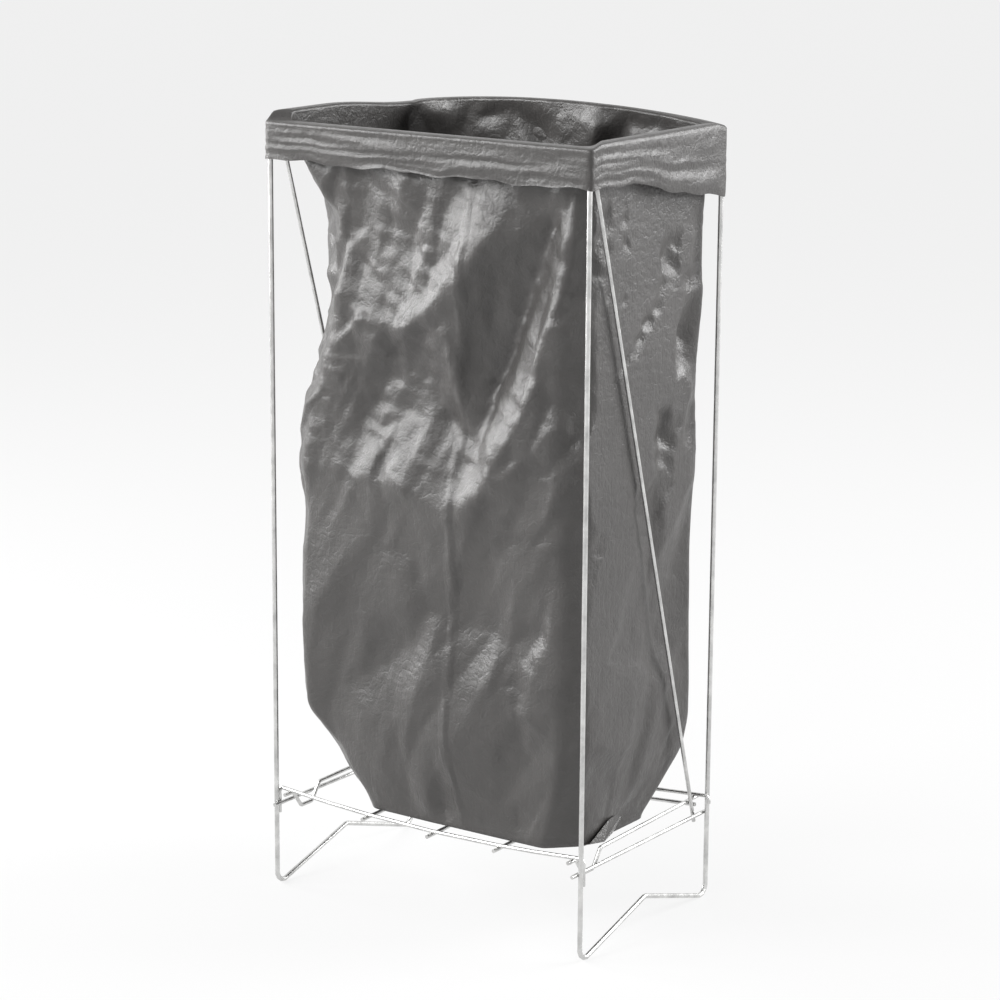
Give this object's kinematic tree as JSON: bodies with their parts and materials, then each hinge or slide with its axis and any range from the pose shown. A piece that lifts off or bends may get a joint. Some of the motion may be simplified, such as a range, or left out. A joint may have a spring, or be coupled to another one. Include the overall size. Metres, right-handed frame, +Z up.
{
  "type": "folding wire sack stand",
  "caption": "Folding stand of bent zinc-plated wire: two side frames, a leaning bow and a lift-up wire shelf hold an open waste sack by its folded-over mouth",
  "frame": {"origin": "on the floor, under the middle of the four legs", "axes": "+X from the left side frame to the right one, -Y towards the front, where the bow closes the rim, +Z up"},
  "size_m": [0.3936, 0.254, 0.7994],
  "materials": {
    "zinc_wire": "bright zinc-plated drawn steel wire with dull spangle and darker weld spots",
    "grey_film": "thin dark grey polyethylene film, half-gloss, creased and crinkled"
  },
  "bodies": {
    "stand": {"left_side_frame": "zinc_wire", "right_side_frame": "zinc_wire", "left_rail": "zinc_wire", "right_rail": "zinc_wire", "bag": "grey_film"},
    "bow": {"bow": "zinc_wire", "bow_foot_bar": "zinc_wire"},
    "shelf": {"shelf_front_bar": "zinc_wire", "shelf_rear_bar": "zinc_wire", "shelf_left_end_wire": "zinc_wire", "shelf_right_end_wire": "zinc_wire", "shelf_cross_wire_1": "zinc_wire", "shelf_cross_wire_2": "zinc_wire", "shelf_cross_wire_3": "zinc_wire"}
  },
  "joints": [
    {"name": "shelf_fold", "type": "hinge", "parent": "stand", "child": "shelf", "pos_m": [0, -0.1132, 0.106], "axis": [1, 0, 0], "range_deg": [0, 84], "deforming": ["bag"]},
    {"name": "bow_fold", "type": "hinge", "parent": "stand", "child": "bow", "pos_m": [0, -0.109, 0.7945], "axis": [-1, 0, 0], "range_deg": [0, 16], "deforming": ["bag"]}
  ],
  "couplings": [
    {"joint": "bow_fold", "follows": "shelf_fold", "ratio": 0.19048}
  ]
}
